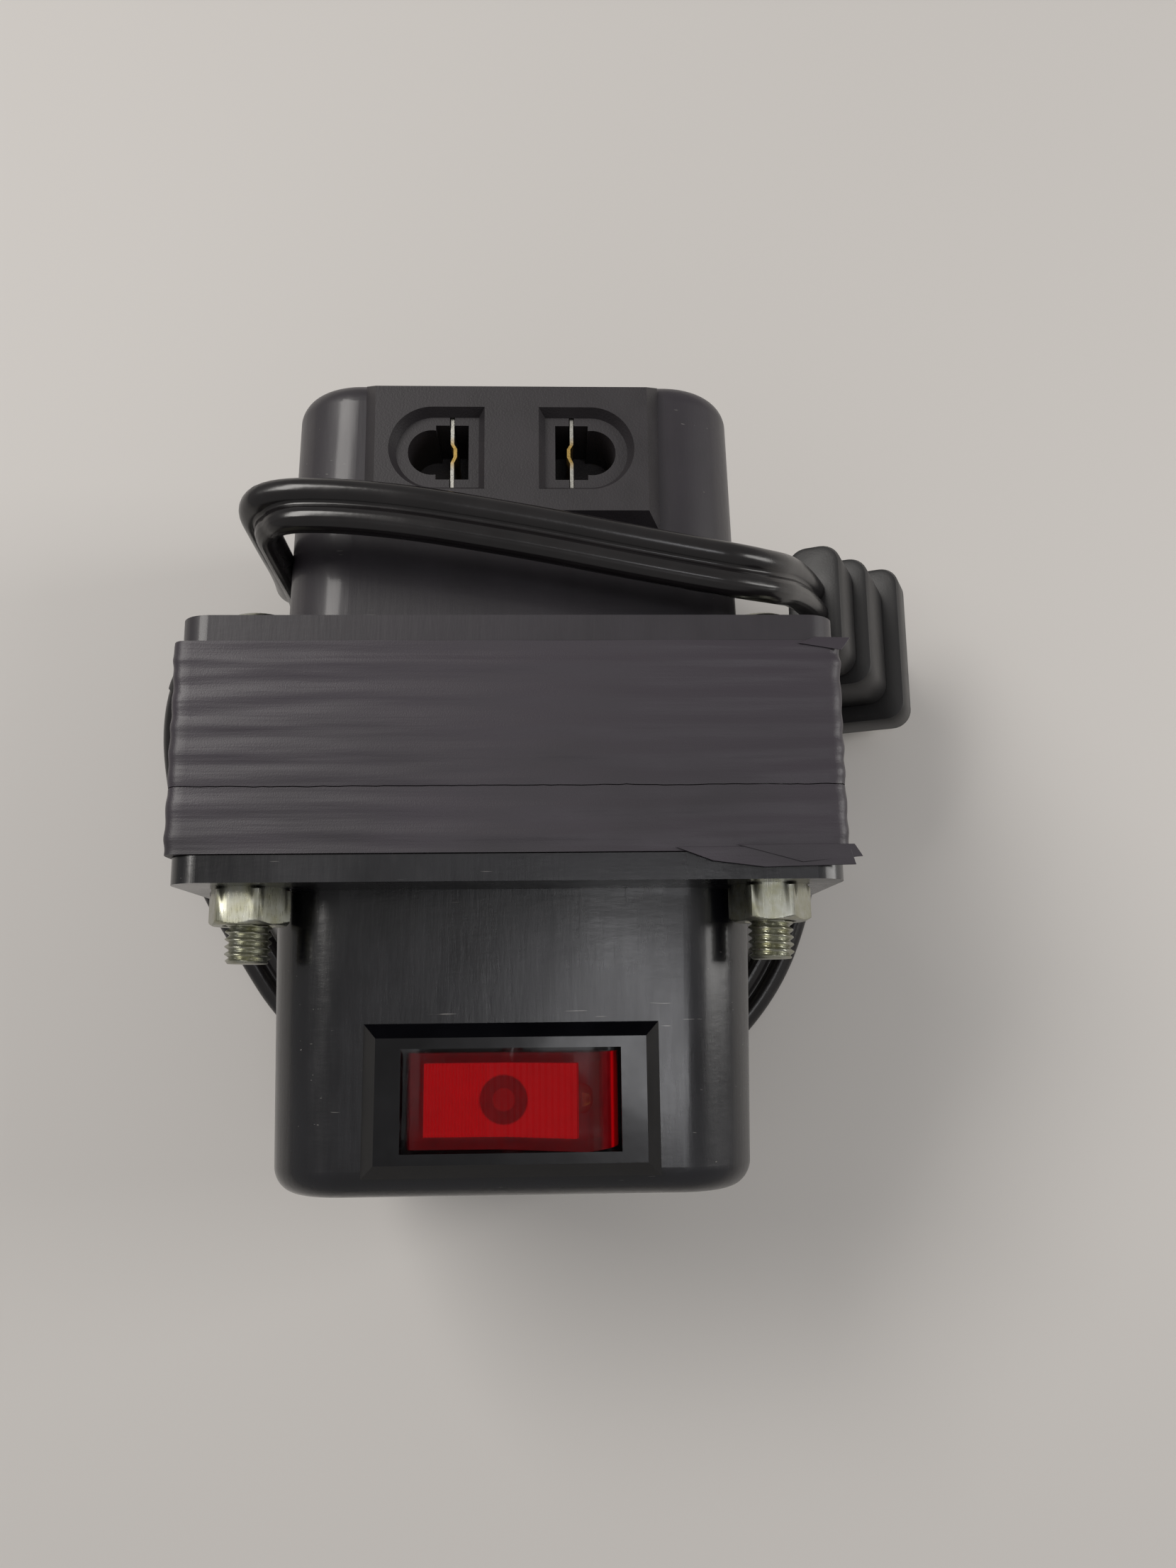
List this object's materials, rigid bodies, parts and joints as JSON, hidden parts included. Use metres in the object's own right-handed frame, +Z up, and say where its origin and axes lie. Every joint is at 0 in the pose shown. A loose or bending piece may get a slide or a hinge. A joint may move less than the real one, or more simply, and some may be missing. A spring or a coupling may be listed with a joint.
{
  "type": "plug-in autotransformer",
  "caption": "Plug-in autotransformer: taped EI core on its long edge, a drawn steel bell each side, lit rocker switch, flush outlet, flat lead wrapped round it and a moulded plug.",
  "frame": {"origin": "on the table under the middle of the core, the bottom centre of the body without its lead", "axes": "+X along the core's long edge, towards the side where the plug hangs; +Y along the clamp bolts, from the switch's bell to the outlet's bell; +Z up"},
  "size_m": [0.1109, 0.0956, 0.0626],
  "materials": {
    "lamination": "satin",
    "core_tape": "satin",
    "bobbin": "matte",
    "copper": "gloss",
    "paper": "matte",
    "coil_tape": "satin",
    "bell_enamel": "gloss",
    "zinc": "satin",
    "switch_black": "gloss",
    "rocker_red": "gloss",
    "diffuser_red": "gloss",
    "plunger_white": "matte",
    "spring_steel": "polished",
    "lamp_glass": "polished",
    "brass_contact": "satin",
    "outlet_black": "matte",
    "nickel_contact": "satin",
    "pvc_black": "satin",
    "wire_black": "satin",
    "wire_red": "satin",
    "wire_white": "satin",
    "fuse_case": "satin"
  },
  "bodies": {
    "transformer": {"core_e_laminations": "lamination", "core_i_laminations": "lamination", "rear_core_tape": "core_tape", "front_core_tape": "core_tape", "coil_bobbin": "bobbin", "common_winding": "copper", "interwinding_paper": "paper", "series_winding": "copper", "coil_outer_tape": "coil_tape", "front_bell": "bell_enamel", "rear_bell": "bell_enamel", "clamp_bolts": "zinc", "clamp_nuts": "zinc", "switch_housing": "switch_black", "load_terminal": "brass_contact", "feed_terminal": "brass_contact", "lamp_terminal": "brass_contact", "outlet_body": "outlet_black", "left_outlet_contact": "nickel_contact", "right_outlet_contact": "nickel_contact", "lead_grommet": "pvc_black", "plug_body": "pvc_black", "plug_blades": "nickel_contact", "mains_lead": "pvc_black", "feed_wire": "wire_black", "load_wire": "wire_red", "tap_wire": "wire_white", "return_wire": "wire_black", "thermal_fuse": "fuse_case"},
    "rocker": {"switch_rocker": "rocker_red", "rocker_diffuser": "diffuser_red", "switch_plunger": "plunger_white", "plunger_spring": "spring_steel", "neon_lamp": "lamp_glass"},
    "see_saw": {"contact_see_saw": "brass_contact"}
  },
  "joints": [
    {"name": "rocker_tilt", "type": "hinge", "parent": "transformer", "child": "rocker", "pos_m": [0, -0.0374, 0.0499], "axis": [0, 1, 0], "range_deg": [0, 24]},
    {"name": "see_saw_tilt", "type": "hinge", "parent": "transformer", "child": "see_saw", "pos_m": [0, -0.0374, 0.04445], "axis": [0, 1, 0], "range_deg": [-14, 0]}
  ],
  "couplings": [
    {"joint": "see_saw_tilt", "follows": "rocker_tilt", "ratio": -0.58}
  ]
}
